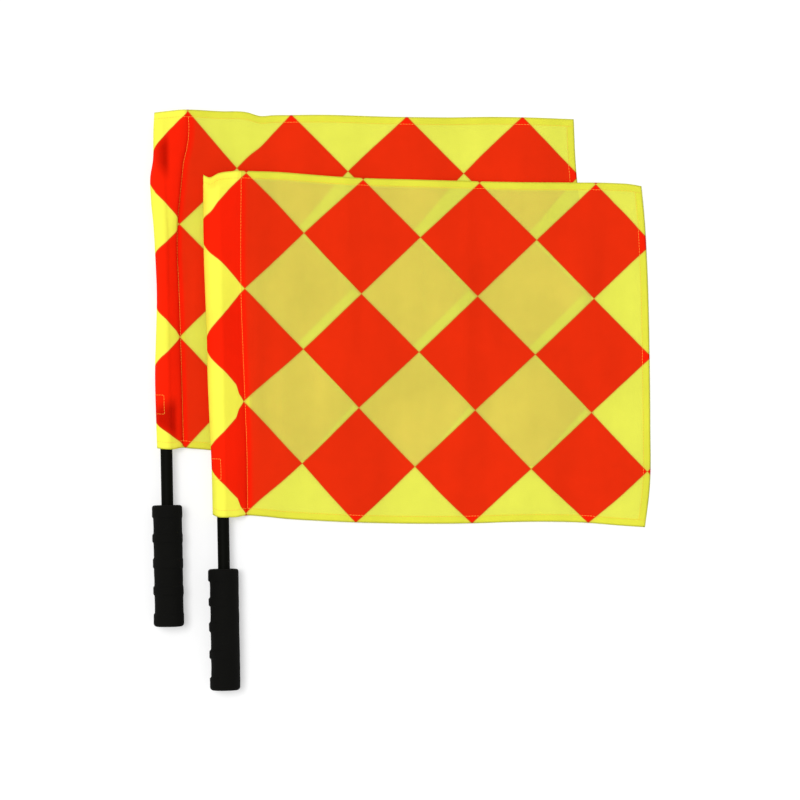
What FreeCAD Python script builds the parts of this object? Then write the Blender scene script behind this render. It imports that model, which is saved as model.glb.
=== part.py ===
"""Pair of linesman flags, lying one over the other as they are laid out.

Each flag is a plastic tube with a moulded foam grip at its foot and a printed
cloth at its head. The cloth's leading edge is folded round the tube and sewn
into a sleeve, closed at the tip and open at the mouth, so the cloth turns
freely on the tube. X runs across the flags towards the fly, Y runs along the
tubes towards the tips and Z is up. Millimetres.
"""

import FreeCAD, Part
import math
import os

# Pole
tube_diameter = 12.0
tube_wall = 1.5
pole_length = 497.0

# Tip cap and foot plug
cap_head_diameter = 13.4
cap_head_height = 4.0
cap_bevel = 1.4
cap_stem_length = 14.0
plug_head_height = 2.0
plug_stem_length = 12.0

# Foam grip
grip_length = 121.0
grip_diameter = 29.0
grip_floor = 7.0
shoulder_round = 3.0
foot_round = 4.0
ridge_rise = 1.55
ridge_ramp = 2.0
end_ridge_length = 13.5
finger_ridge_length = 10.5
finger_ridge_pitch = 26.0
first_finger_height = 36.0
finger_ridge_count = 3
round_steps = 2

# Printed cloth
cloth_thickness = 0.5
cloth_height = 339.5
cloth_width = 428.0
cloth_turn_degrees = 2.2
hem_width = 7.0
closed_end_length = 16.0
closed_end_drop = 5.0

# Sleeve round the pole
sleeve_gap = 0.3
sleeve_fold = 13.0
fold_drop = 2.0

# Grip tab sewn inside the sleeve
tab_thickness = 0.45
tab_above_mouth = 35.5
tab_height = 23.0
tab_past_axis = 0.75
tab_slip = 0.02
tab_folds = 5

# Sewing thread
thread_width = 0.7
thread_rise = 0.35
thread_lift = 0.12
seam_inset = 1.5
row_clearance = 1.05

# Folds of the cloth
fold_height = 10.0

# Rear pole's place beside the front one
pair_shift_across = -55.3
pair_shift_along = 64.5

# Heights of the cross sections and, in each, how far the sleeve's folded edge
# stands out, where the fly edge is, and how high the seam and each fold lie.
station_shares = (0.0, 0.3, 0.65)

front_flag = {
    "name": "front",
    "seam_out": 22.0,
    "knot_shares": (0.0, 0.14, 0.26, 0.38, 0.52, 0.66, 0.81, 1.0),
    "edge_shares": (0.66, 0.86, 0.96, 1.0, 0.9),
    "fly_shares": (0.985, 0.994, 0.986, 0.965, 0.96),
    "fold_shares": (
        (0.28, 0.13, 0.32, 0.12, 0.27, 0.13, 0.24, 0.06),
        (0.46, 0.22, 0.48, 0.22, 0.42, 0.23, 0.40, 0.10),
        (0.70, 0.22, 0.46, 0.24, 0.42, 0.22, 0.38, 0.10),
        (0.84, 0.24, 0.48, 0.24, 0.44, 0.23, 0.40, 0.14),
        (0.80, 0.26, 0.46, 0.25, 0.45, 0.24, 0.40, 0.16),
    ),
}
rear_flag = {
    "name": "rear",
    "seam_out": 16.0,
    "knot_shares": (0.0, 0.075, 0.16, 0.3, 0.42, 0.58, 0.74, 1.0),
    "edge_shares": (0.62, 0.7, 0.76, 0.8, 0.62),
    "fly_shares": (0.985, 0.994, 0.986, 0.965, 0.96),
    "fold_shares": (
        (0.28, 0.02, 0.02, 0.06, 0.02, 0.06, 0.02, 0.02),
        (0.40, 0.02, 0.02, 0.12, 0.03, 0.12, 0.03, 0.02),
        (0.50, 0.02, 0.02, 0.12, 0.03, 0.11, 0.03, 0.02),
        (0.60, 0.04, 0.03, 0.22, 0.04, 0.20, 0.04, 0.03),
        (0.60, 0.06, 0.04, 0.34, 0.05, 0.30, 0.05, 0.04),
    ),
}

# Directions round the pole in a cross section, counted from +X towards +Z
shoulder_degrees = 122.0
flat_share = 0.08

# Sizes that follow
tube_radius = tube_diameter / 2
bore_radius = tube_radius - tube_wall
grip_radius = grip_diameter / 2
ridge_radius = grip_radius + ridge_rise / 2
ridge_offset = ridge_rise / 2
axis_height = ridge_radius
tube_foot = grip_floor + plug_head_height
tube_tip = pole_length - cap_head_height
cap_radius = cap_head_diameter / 2
sleeve_radius = cap_radius + sleeve_gap
turn = math.radians(cloth_turn_degrees)
cloth_foot = pole_length + closed_end_length - cloth_height
tab_foot = cloth_foot + tab_above_mouth
closed_end_share = 1 - closed_end_length / cloth_height
hem_share = hem_width / cloth_height
sewn_share = 1 - hem_share
row_end_share = row_clearance / cloth_height
loft_shares = station_shares + (closed_end_share,)
row_shares = loft_shares + (1.0,)

X = FreeCAD.Vector(1, 0, 0)
Y = FreeCAD.Vector(0, 1, 0)
Z = FreeCAD.Vector(0, 0, 1)
ORIGIN = FreeCAD.Vector(0, 0, 0)


def line(a, b):
    return Part.LineSegment(a, b).toShape()


def arc(a, middle, b):
    return Part.Arc(a, middle, b).toShape()


def turned(points):
    """The solid that a closed outline of (radius, height) points sweeps about the pole's axis."""
    profile = [FreeCAD.Vector(radius, height, 0) for radius, height in points]
    edges = [line(a, b) for a, b in zip(profile, profile[1:] + profile[:1])]
    return Part.Face(Part.Wire(edges)).revolve(ORIGIN, Y, 360)


def loft(sections):
    """A solid with straight walls from each section to the next."""
    return Part.makeLoft(sections, True, True)


# Pole and its end fittings


def shaft_tube():
    """A drawn tube, cut square at both ends."""
    return turned(
        [
            (bore_radius, tube_foot),
            (tube_radius, tube_foot),
            (tube_radius, tube_tip),
            (bore_radius, tube_tip),
        ]
    )


def tip_cap():
    """A moulded cap: a bevelled button over the tube's end, on a stem pressed into its bore."""
    stem_end = tube_tip - cap_stem_length
    return turned(
        [
            (0, stem_end),
            (bore_radius, stem_end),
            (bore_radius, tube_tip),
            (cap_radius, tube_tip),
            (cap_radius, pole_length - cap_bevel),
            (cap_radius - cap_bevel, pole_length),
            (0, pole_length),
        ]
    )


def foot_plug():
    """A flanged plug in the tube's lower end, which the grip's floor bears on."""
    stem_end = tube_foot + plug_stem_length
    return turned(
        [
            (0, grip_floor),
            (tube_radius, grip_floor),
            (tube_radius, tube_foot),
            (bore_radius, tube_foot),
            (bore_radius, stem_end),
            (0, stem_end),
        ]
    )


# Foam grip


def ring(height, radius, offset=0):
    """A circle round the pole's axis at one height, or set off towards -X."""
    return Part.Wire([Part.Circle(FreeCAD.Vector(-offset, height, 0), Y, radius).toShape()])


def collar_edge(end, inward, rounding):
    """The rings that round an end of the grip, from its face to the side of the end ridge."""
    rings = []
    for n in range(round_steps + 1):
        angle = math.radians(90 * n / round_steps)
        height = end + inward * rounding * (1 - math.cos(angle))
        rings.append(ring(height, ridge_radius - rounding * (1 - math.sin(angle)), ridge_offset))
    return rings


def finger_ridge(middle):
    """Four rings: up a ramp from the barrel to an off-centre ring, along it and down again.

    The off-centre ring touches the barrel on the +X side, so the ridge stands proud towards -X
    and dies away round the flanks.
    """
    half = finger_ridge_length / 2
    return [
        ring(middle - half, grip_radius),
        ring(middle - half + ridge_ramp, ridge_radius, ridge_offset),
        ring(middle + half - ridge_ramp, ridge_radius, ridge_offset),
        ring(middle + half, grip_radius),
    ]


def grip():
    """The moulded grip: a barrel with round-edged end collars and finger ridges, bored blind for the tube."""
    rings = collar_edge(0, 1, foot_round)
    rings.append(ring(end_ridge_length - ridge_ramp, ridge_radius, ridge_offset))
    rings.append(ring(end_ridge_length, grip_radius))
    for n in range(finger_ridge_count):
        rings += finger_ridge(first_finger_height + n * finger_ridge_pitch)
    rings.append(ring(grip_length - end_ridge_length, grip_radius))
    rings.append(ring(grip_length - end_ridge_length + ridge_ramp, ridge_radius, ridge_offset))
    rings += collar_edge(grip_length, -1, shoulder_round)[::-1]
    bore = Part.makeCylinder(tube_radius, grip_length, FreeCAD.Vector(0, grip_floor, 0), Y)
    return loft(rings).cut(bore)


# Cross sections of the cloth. Distances across are counted from the pole's axis.


def at(across, height, up):
    """A point of the cloth, before the whole cloth is turned to its slant."""
    return FreeCAD.Vector(across - up * math.tan(turn), up, height)


def between(values, share):
    """The value at a share of the cloth's height, in line between the table's rows above and below it."""
    n = 0
    while share > row_shares[n + 1]:
        n += 1
    part = (share - row_shares[n]) / (row_shares[n + 1] - row_shares[n])
    return values[n] + (values[n + 1] - values[n]) * part


def knots(flag, share):
    """The crests and hollows of the panel's underside, as pairs of across and height."""
    up = cloth_foot + share * cloth_height
    fly = between(flag["fly_shares"], share) * cloth_width + (up - cloth_foot) * math.tan(turn)
    rows = list(zip(*flag["fold_shares"]))
    seam = flag["seam_out"]
    return [
        (seam + (fly - seam) * knot, between(row, share) * fold_height)
        for knot, row in zip(flag["knot_shares"], rows)
    ]


def fold_arcs(points):
    """Two equal arcs from each knot to the next, level at the knots, or two straight runs between like ones."""
    runs = []
    for (x0, z0), (x1, z1) in zip(points, points[1:]):
        half, rise = (x1 - x0) / 2, (z1 - z0) / 2
        middle = (x0 + half, z0 + rise)
        if rise == 0:
            runs += [[(x0, z0), middle], [middle, (x1, z1)]]
            continue
        angle = 2 * math.atan2(rise, half)
        radius = half / math.sin(angle)
        run, climb = radius * math.sin(angle / 2), radius * (1 - math.cos(angle / 2))
        runs.append([(x0, z0), (x0 + run, z0 + climb), middle])
        runs.append([middle, (x1 - run, z1 - climb), (x1, z1)])
    return runs


def tangent(corner_point, radius, side):
    """Where a straight line from a corner meets the circle round the pole, above or below it."""
    across, height = corner_point[0], corner_point[1] - axis_height
    reach = math.degrees(math.acos(radius / math.hypot(across, height)))
    return math.degrees(math.atan2(height, across)) + side * reach


def round_pole(degrees, radius, flatten):
    """A point round the pole, pressed down towards a flat edge as flatten goes from 0 to 1."""
    across = radius * math.cos(math.radians(degrees))
    height = radius * math.sin(math.radians(degrees)) * (1 - flatten * (1 - flat_share))
    return across, axis_height + height - flatten * closed_end_drop


def sleeve_loop(flag, share, grow, upper, lower, flatten):
    """The sleeve in three-point arcs and lines, from its upper corner round the folded edge to its lower one."""
    radius = sleeve_radius + grow
    edge = between(flag["edge_shares"], share) * sleeve_fold + grow
    top, bottom = tangent(upper, radius, 1), tangent(lower, radius, -1) + 360
    fold = 180 + math.degrees(math.asin(fold_drop / edge))
    loop = []
    for start, end, first, last in (
        (top, shoulder_degrees, radius, radius),
        (shoulder_degrees, fold, radius, edge),
        (fold, bottom, edge, radius),
    ):
        loop.append(
            [
                round_pole(start, first, flatten),
                round_pole((start + end) / 2, (first + last) / 2, flatten),
                round_pole(end, last, flatten),
            ]
        )
    return [[upper, loop[0][0]], *loop, [loop[-1][-1], lower]]


def wire(runs, up, chords=0):
    """A closed wire at one height, of lines and of three-point arcs or that many chords of each."""
    edges = []
    for run in runs:
        points = [at(across, height, up) for across, height in run]
        if len(points) == 2:
            edges.append(line(*points))
        elif chords:
            bends = arc(*points).discretize(chords + 1)
            edges += [line(a, b) for a, b in zip(bends, bends[1:])]
        else:
            edges.append(arc(*points))
    return Part.Wire(edges)


def cloth_section(flag, share, flatten=0):
    """The cloth's whole outline at one height: sleeve, panel and fly edge."""
    points = knots(flag, share)
    over = fold_arcs([(across, height + cloth_thickness) for across, height in points])
    under = fold_arcs(points)
    loop = sleeve_loop(flag, share, cloth_thickness, over[0][0], under[0][0], flatten)
    fly_edge = [under[-1][-1], over[-1][-1]]
    back = [run[::-1] for run in reversed(over)]
    return wire(loop + under + [fly_edge] + back, cloth_foot + share * cloth_height)


def pocket_section(flag, share, grow=0, flatten=0, past=0, chords=0):
    """The sleeve's hollow at one height, or the same outline grown or shrunk by a little."""
    seam, height = knots(flag, share)[0]
    inner_corner = (seam - cloth_thickness * 2 + grow, height + cloth_thickness / 2)
    loop = sleeve_loop(flag, share, grow, inner_corner, inner_corner, flatten)
    return wire(loop, cloth_foot + share * cloth_height + past, chords)


def slanted(shape):
    """Turns a cloth piece from its own axes to its slant on the pole."""
    shape.rotate(ORIGIN, Z, -cloth_turn_degrees)
    return shape


def cloth(flag):
    """One printed panel, folded round the pole into a sleeve and sewn flat at the tip."""
    sewn_flatten = (sewn_share - closed_end_share) / (1 - closed_end_share)
    body = [cloth_section(flag, share) for share in loft_shares] + [cloth_section(flag, 1, 1)]
    hollow = [pocket_section(flag, 0, past=-hem_width)]
    hollow += [pocket_section(flag, share) for share in loft_shares]
    hollow.append(pocket_section(flag, sewn_share, 0, sewn_flatten))
    return slanted(loft(body).cut(loft(hollow)))


def sleeve_band(flag, inner_grow, outer_grow, foot, height, reach, chords=0):
    """A strip round the sleeve's folded edge, over it and under it, as far as reach past the pole's axis."""
    stations = [share for share in loft_shares if share * cloth_height < tab_above_mouth + tab_height]
    stations.append(loft_shares[len(stations)])
    outer = loft([pocket_section(flag, share, outer_grow, chords=chords) for share in stations])
    inner = loft([pocket_section(flag, share, inner_grow, chords=chords) for share in stations])
    depth = sleeve_fold * 2
    corner_point = FreeCAD.Vector(reach - depth, foot, axis_height - depth)
    return slanted(outer.cut(inner)).common(Part.makeBox(depth, height, depth * 2, corner_point))


def tab(flag):
    """A patch of grip tape sewn inside the mouth, which hugs the tube so the cloth doesn't creep."""
    inner_grow = -tab_slip - tab_thickness
    return sleeve_band(flag, inner_grow, -tab_slip, tab_foot, tab_height, tab_past_axis, tab_folds)


# Sewing threads, one laid along each row of stitches


def tab_stitching(flag):
    """The row that holds the tab, a rectangle that passes round the folded edge."""
    low = cloth_thickness + thread_lift
    high = low + thread_rise
    foot, height, reach = tab_foot + seam_inset, tab_height - seam_inset * 2, tab_past_axis - seam_inset
    block = sleeve_band(flag, low, high, foot, height, reach)
    depth = sleeve_fold * 2
    corner_point = FreeCAD.Vector(reach - thread_width - depth * 2, foot + thread_width, axis_height - depth)
    return block.cut(Part.makeBox(depth * 2, height - thread_width * 2, depth * 2, corner_point))


def thread_along(flag, knot, offset):
    """A thread up the panel's upper face, beside one of its knots, from one hem's row to the other's."""
    sections = []
    for share in (hem_share + row_end_share,) + loft_shares[1:] + (sewn_share - row_end_share,):
        across, height = knots(flag, share)[knot]
        low = height + cloth_thickness + thread_lift
        high = low + thread_rise
        left = across + offset - thread_width / 2
        right = left + thread_width
        outline = [(left, low), (right, low), (right, high), (left, high), (left, low)]
        sections.append(wire(list(zip(outline, outline[1:])), cloth_foot + share * cloth_height))
    return slanted(loft(sections))


def sleeve_seam(flag):
    """The long row that closes the sleeve beside the pole."""
    return thread_along(flag, 0, seam_inset)


def fly_seam(flag):
    """The row that holds the hem of the fly edge."""
    return thread_along(flag, -1, -hem_width)


def thread_across(flag, share):
    """A thread from the sleeve to the fly edge, over every fold of the panel."""
    base = cloth_thickness + thread_lift
    low = fold_arcs([(across, height + base) for across, height in knots(flag, share)])
    high = [[(across, height + thread_rise) for across, height in run] for run in low]
    ends = [[low[-1][-1], high[-1][-1]], [high[0][0], low[0][0]]]
    back = [run[::-1] for run in reversed(high)]
    outline = wire(low + ends[:1] + back + ends[1:], cloth_foot + share * cloth_height)
    return slanted(Part.Face(outline).extrude(FreeCAD.Vector(-math.tan(turn), 1, 0) * thread_width))


def head_seam(flag):
    return thread_across(flag, sewn_share)


def foot_seam(flag):
    return thread_across(flag, hem_share)


# The pair


def raised(shape):
    """Lifts a piece built round the pole's axis to where the pole lies."""
    shape.translate(Z * axis_height)
    return shape


def flag_pieces(flag):
    """Every piece of one flag, with the pole's foot at the origin."""
    return {
        "grip": raised(grip()),
        "shaft_tube": raised(shaft_tube()),
        "tip_cap": raised(tip_cap()),
        "foot_plug": raised(foot_plug()),
        "cloth": cloth(flag),
        "grip_tab": tab(flag),
        "tab_stitching": tab_stitching(flag),
        "sleeve_seam": sleeve_seam(flag),
        "head_seam": head_seam(flag),
        "fly_seam": fly_seam(flag),
        "foot_seam": foot_seam(flag),
    }


def main():
    os.makedirs("parts", exist_ok=True)
    shapes = {}
    for flag, shift in ((front_flag, ORIGIN), (rear_flag, X * pair_shift_across + Y * pair_shift_along)):
        for name, shape in flag_pieces(flag).items():
            shape.translate(shift)
            shapes[flag["name"] + "_" + name] = shape
    box = Part.makeCompound(list(shapes.values())).optimalBoundingBox()
    middle = FreeCAD.Vector(box.Center.x, box.Center.y, box.ZMin)
    print("front pole's foot at", [round(v, 4) for v in (-middle)])
    print("size", [round(v, 3) for v in (box.XLength, box.YLength, box.ZLength)])
    for name, shape in shapes.items():
        shape.translate(-middle)
        print(name, shape.isValid(), len(shape.Solids), round(shape.Volume, 1))
        shape.exportStep(os.path.join("parts", name + ".step"))


main()
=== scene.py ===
import math

import bpy
import numpy as np
from mathutils import Matrix, Vector


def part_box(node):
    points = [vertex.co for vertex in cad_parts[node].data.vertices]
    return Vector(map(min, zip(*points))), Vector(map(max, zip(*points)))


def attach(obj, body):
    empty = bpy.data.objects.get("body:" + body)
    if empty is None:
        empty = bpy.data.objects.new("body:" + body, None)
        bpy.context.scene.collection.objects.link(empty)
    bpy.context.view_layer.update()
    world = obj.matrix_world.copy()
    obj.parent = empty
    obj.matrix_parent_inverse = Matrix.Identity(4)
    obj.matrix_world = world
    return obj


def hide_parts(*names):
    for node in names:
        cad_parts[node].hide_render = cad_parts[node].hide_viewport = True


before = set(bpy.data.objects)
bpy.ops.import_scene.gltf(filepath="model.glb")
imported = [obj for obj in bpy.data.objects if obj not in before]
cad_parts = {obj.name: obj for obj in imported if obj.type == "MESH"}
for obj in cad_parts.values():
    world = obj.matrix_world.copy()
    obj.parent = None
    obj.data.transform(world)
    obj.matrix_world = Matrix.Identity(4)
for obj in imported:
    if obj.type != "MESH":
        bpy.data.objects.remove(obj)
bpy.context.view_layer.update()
mm = 0.001

# Printed cloths
# Each flag is one piece of plain-weave polyester, printed right through with red
# diamonds on bright yellow. Its leading edge is folded round the pole into a
# sleeve and sewn down, and the other three edges are folded under and hemmed.

cloth_thickness = 0.22
layer_pitch = 0.27
lowest_layer = 0.25
cloth_height = 339.5
cloth_foot = 173.5
cloth_head = cloth_foot + cloth_height
slant = math.radians(2.2)
hem_width, hem_fold, hem_turn = 7.0, 0.8, 0.3
hem_steps = 3
hem_columns = hem_steps + 1
seam_allowance = 6.0
end_ease, stack_ease = 5.0, 4.0
sleeve_radius = 7.2
shoulder_angle, fold_angle = math.radians(112), math.radians(187)
belly_skew, bend_ease = 0.6, 1.5
closed_end_length = 16.0
pressed_share, pressed_drop, pressed_reach = 0.09, 5.2, 9.0
rest_height = 0.5
ripple_fade = 60.0
seam_ease, fly_ease = 6.0, 12.0
head_reach, mouth_reach = 120.0, 60.0
fold_rows = (173.5, 275.4, 394.2, 497.5, 513.0)
crowd_places, crowd_prints = (7.2, 4.6), (17.0, 8.0)
sag_span, dip_span = (30, 110), (24, 70)
spot_left, spot_right, spot_low, spot_high = (-4, 8), (-4, 1), (-12, 10), (-12, 6)
spot_fall, spot_rise = 0.5, 0.35
hem_blur = (-0.4, 0.8)
print_under = 60.0
panel_columns, sleeve_columns, cloth_rows = 190, 76, 152
section_points = 40

# Places are in millimetres, across from the pole's axis and up it from the grip's
# foot. A table is read at heights up the pole, except where its line says otherwise.
# seam, edge, fly: how far from the axis the seam, the folded edge and the fly edge lie
# belly: how far the sleeve bulges beside its seam
# head, mouth: how far the upper and lower edges rise, read across the cloth
# knots, folds: shares of the way from seam to fly edge, and the height there at each of fold_rows
# ripples: where each finer fold lies across, its lean, width and rise, and where it starts and ends
# puffs: where each soft swelling of the sleeve lies, its width, length and rise
# shown: left, right, low and high of each spot where the black tape or tube shows through the red
# columns, print_rows: where the print's columns and rows lie, and their pitch
# first_column, fold_reach: where the first column lies, and how much print there is from it to the fold
# crowd, half: how far the print is crowded beside the seam, and the shift of its first half column
# swing, sag, dip: how far the print lies to the right, low on the panel, and low by the sleeve

flags = {
    "front": {
        "seam": (
            (173.5, 23.2), (240, 23.6), (290, 22.6), (345, 21.4), (405, 20.6), (450, 21.4),
            (513, 23.0),
        ),
        "edge": (
            (173.5, 10.4), (222, 10.8), (270, 12.2), (315, 13.2), (345, 13.2), (392, 14.2),
            (450, 15.0), (513, 14.2),
        ),
        "fly": (
            (173.5, 421.2), (211, 426.6), (275, 428.3), (326, 428.7), (436, 427.9), (480, 426.2),
            (513, 423.6),
        ),
        "belly": ((173.5, 2.2), (260, 1.6), (330, 0.4), (420, 0.2), (513, 0.2)),
        "head": (
            (-15, 1.0), (-8, -2.0), (1, 2.2), (14, 4.6), (40, 5.2), (62, 5.0), (90, 3.4),
            (123, 1.5), (200, 0.4), (300, 0.0), (350, 0.6), (395, 1.0), (412, 0.4), (424, -1.4),
        ),
        "mouth": (
            (-12, 2.2), (-7, -0.2), (6, -1.0), (14, -0.6), (20, 0.6), (40, 0.3), (60, -1.4),
            (100, -3.0), (155, -3.9), (200, -3.6), (255, -1.8), (285, -0.2), (320, 1.0), (360, 0.9),
            (395, -1.2), (424, -2.6),
        ),
        "knots": (0.0, 0.14, 0.26, 0.38, 0.52, 0.66, 0.81, 1.0),
        "folds": (
            (2.6, 2.0, 3.4, 1.2, 2.7, 1.3, 2.4, 0.6),
            (4.0, 2.6, 4.8, 2.2, 4.2, 2.3, 4.0, 1.0),
            (8.2, 3.4, 4.6, 2.4, 4.2, 2.2, 3.8, 1.0),
            (10.4, 3.6, 4.8, 2.4, 4.4, 2.3, 4.0, 1.4),
            (9.0, 3.6, 4.6, 2.5, 4.5, 2.4, 4.0, 1.6),
        ),
        "ripples": (
            (128, -0.02, 9, 1.8, 300, 560), (62, 0.03, 10, 1.2, 150, 420),
            (92, -0.04, 14, -1.3, 250, 480), (247, 0.02, 7, 1.2, 230, 560),
            (262, 0.0, 11, -1.0, 250, 520), (300, -0.05, 16, 1.4, 150, 380),
            (180, 0.05, 15, 1.2, 150, 330), (205, 0.02, 10, -0.9, 330, 560),
            (372, 0.06, 12, 1.2, 330, 560), (392, 0.05, 14, -1.2, 150, 400),
            (36, 0.02, 6, 1.0, 230, 450), (340, 0.04, 12, -0.9, 300, 520),
        ),
        "puffs": ((4.0, 262.0, 7.0, 22.0, 0.5), (2.0, 405.0, 8.0, 30.0, 0.4)),
        "shown": (),
        "columns": (9.3, 116.2),
        "print_rows": (456.3, 113.4),
        "first_column": ((173.5, 22.4), (229, 21.2), (288, 22.2), (404, 25.6), (513, 29.0)),
        "fold_reach": (
            (173.5, 44.0), (229, 48.0), (290, 50.0), (345, 51.5), (405, 49.5), (458, 45.5),
            (513, 44.0),
        ),
        "crowd": ((173.5, 1.0), (315, 1.0), (340, 0.0), (513, 0.0)),
        "half": ((173.5, 1.0), (229, 2.0), (345, 0.8), (458, 0.0), (513, 0.0)),
        "swing": (
            (173.5, 0.0), (229, 0.0), (288, 1.0), (345, 1.7), (404, 1.0), (458, 0.7), (513, 0.5),
        ),
        "sag": (
            (173.5, -0.4), (200, 1.8), (229, 2.8), (288, 1.9), (345, 1.7), (404, 1.3), (458, 0.7),
            (513, 1.6),
        ),
        "dip": ((173.5, -2.6), (290, -2.0), (404, -1.2), (458, 0.4), (513, 2.0)),
    },
    "rear": {
        "seam": (
            (173.5, 15.7), (240, 15.2), (300, 14.6), (340, 13.9), (377, 12.9), (400, 13.6),
            (433, 17.2), (447, 19.0), (462, 21.0), (476, 24.6), (490, 26.6), (513, 26.0),
        ),
        "edge": (
            (173.5, 9.4), (210, 10.0), (250, 10.2), (290, 8.4), (330, 6.8), (370, 7.8), (400, 9.2),
            (425, 11.2), (447, 11.6), (466, 8.4), (490, 7.6), (513, 6.4),
        ),
        "fly": (
            (173.5, 421.2), (211, 426.6), (275, 428.3), (326, 427.5), (400, 420.6), (440, 415.8),
            (470, 413.6), (513, 412.4),
        ),
        "belly": (
            (173.5, 1.6), (240, 2.6), (300, 1.6), (380, 2.6), (440, 3.6), (470, 2.8), (513, 1.2),
        ),
        "head": (
            (-8, -1.0), (4, 0.6), (18, 2.4), (60, 2.2), (86, 1.8), (99, -1.6), (112, -0.6),
            (130, -0.2), (160, 0.8), (240, 0.3), (290, 1.0), (330, 2.4), (370, 2.6), (412, 1.8),
        ),
        "mouth": (
            (-12, 4.2), (-2, 3.4), (8, 3.4), (15, 5.0), (24, 4.4), (40, 3.4), (70, 0.0),
            (120, -4.5), (430, -5.5),
        ),
        "knots": (0.0, 0.075, 0.16, 0.3, 0.42, 0.58, 0.74, 1.0),
        "folds": (
            (5.0, 1.6, 0.4, 0.6, 0.2, 0.6, 0.2, 0.2),
            (7.5, 2.6, 0.5, 1.2, 0.3, 1.2, 0.3, 0.2),
            (8.6, 3.2, 0.6, 1.2, 0.3, 1.1, 0.3, 0.2),
            (8.8, 3.4, 0.8, 2.2, 0.4, 2.0, 0.4, 0.3),
            (8.0, 3.2, 1.0, 3.4, 0.5, 3.0, 0.5, 0.4),
        ),
        "ripples": (
            (60, 0.03, 9, 0.8, 430, 560), (140, 0.05, 12, 0.9, 400, 560),
            (228, -0.04, 11, 0.8, 400, 560), (290, 0.03, 10, -0.5, 420, 560),
            (36, 0.1, 6, 0.5, 250, 480),
        ),
        "puffs": (
            (-2.0, 350.0, 6.0, 22.0, 0.6), (2.0, 430.0, 6.0, 14.0, 0.7),
            (0.0, 270.0, 7.0, 26.0, 0.4),
        ),
        "shown": ((-12.0, 11.5, 192.0, 224.0), (-5.0, 8.5, 455.0, 487.0)),
        "columns": (-5.4, 115.7),
        "print_rows": (457.6, 112.4),
        "first_column": (
            (173.5, 19.0), (230, 16.0), (288, 14.9), (345, 15.4), (404, 16.8), (456, 21.0),
            (513, 27.0),
        ),
        "fold_reach": (
            (173.5, 28.5), (221, 28.5), (262, 30.0), (345, 31.0), (380, 33.5), (425, 40.0),
            (450, 42.0), (513, 42.0),
        ),
        "crowd": ((173.5, 0.0), (513, 0.0)),
        "half": ((173.5, -5.0), (221, -4.5), (331, -2.0), (410, 0.0), (513, 0.0)),
        "swing": (
            (173.5, 13.0), (221, 11.0), (331, 8.0), (410, 5.6), (442, 1.2), (460, 0.0), (513, 0.0),
        ),
        "sag": (
            (173.5, 7.5), (221, 7.0), (331, 4.0), (410, 2.5), (442, 0.6), (460, 0.0), (513, 0.0),
        ),
        "dip": (
            (173.5, 3.2), (230, 1.6), (288, 0.1), (345, 0.0), (404, 0.0), (458, 0.3), (513, 2.0),
        ),
    },
}


def pole_place(side):
    """A pole's axis across and up, and how far along its foot lies, in millimetres."""
    low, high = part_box(side + "_shaft_tube")
    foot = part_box(side + "_grip")[0].y
    return (low.x + high.x) / 2 / mm, foot / mm, (low.z + high.z) / 2 / mm


def through(places, values, at):
    """A smooth curve through the values at the places, read at other places.

    Between two places it is the cubic whose slope at each one is that of the
    chord from the place before it to the place after it. Values may have
    further axes after the first, which are carried along.
    """
    places, values, at = np.asarray(places, float), np.asarray(values, float), np.asarray(at, float)
    slopes = np.gradient(values, places, axis=0)
    n = np.clip(np.searchsorted(places, at, side="right") - 1, 0, len(places) - 2)
    gap = places[n + 1] - places[n]
    t = np.clip((at - places[n]) / gap, 0, 1)
    if values.ndim > 1:
        gap, t = gap[:, None], t[:, None]
    start, end = values[n], values[n + 1]
    leaving, arriving = slopes[n] * gap, slopes[n + 1] * gap
    return (
        start * (1 + 2 * t) * (1 - t) ** 2
        + leaving * t * (1 - t) ** 2
        + end * t * t * (3 - 2 * t)
        - arriving * t * t * (1 - t)
    )


def drawn(table, at):
    """The smooth curve through a table of (place, value) pairs, held level past its ends."""
    places, values = zip(*table)
    return through(places, values, np.clip(at, places[0], places[-1]))


def step(value, low, high):
    """0 below low, 1 above high and a smooth ease between them."""
    t = np.clip((value - low) / (high - low), 0, 1)
    return t * t * (3 - 2 * t)


def length_along(points):
    """How far along a path each of its points lies: the sum of the steps up to it."""
    return np.concatenate([[0], np.cumsum(np.linalg.norm(np.diff(points, axis=0), axis=1))])


def along(points, at):
    """The places at given distances along a path."""
    length = length_along(points)
    return np.stack([np.interp(at, length, points[:, axis]) for axis in (0, 1)], axis=1)


def panel_height(flag, across, up):
    """How high the panel's middle layer lies: its main folds, and a bell across each finer ripple.

    The main folds run smoothly through the heights at the knots. A ripple's line
    leans, its height fades out towards both its ends, and all ripples die away
    at the seam and at the fly edge.
    """
    rows = through(fold_rows, flag["folds"], up[:, 0])
    seam, fly = drawn(flag["seam"], up), drawn(flag["fly"], up)
    share = np.clip((across - seam) / (fly - seam), 0, 1)
    main = np.stack([through(flag["knots"], row, part) for row, part in zip(rows, share)])
    finer = np.zeros_like(main)
    for middle, lean, width, rise, low, high in flag["ripples"]:
        line = middle + lean * (up - (low + high) / 2)
        bell = np.exp(-(((across - line) / width) ** 2))
        finer += rise * bell * step(up, low, low + ripple_fade) * (1 - step(up, high - ripple_fade, high))
    edge = step(across - seam, 0, seam_ease) * step(fly - across, 0, fly_ease)
    return main + finer * edge + rest_height


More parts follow.
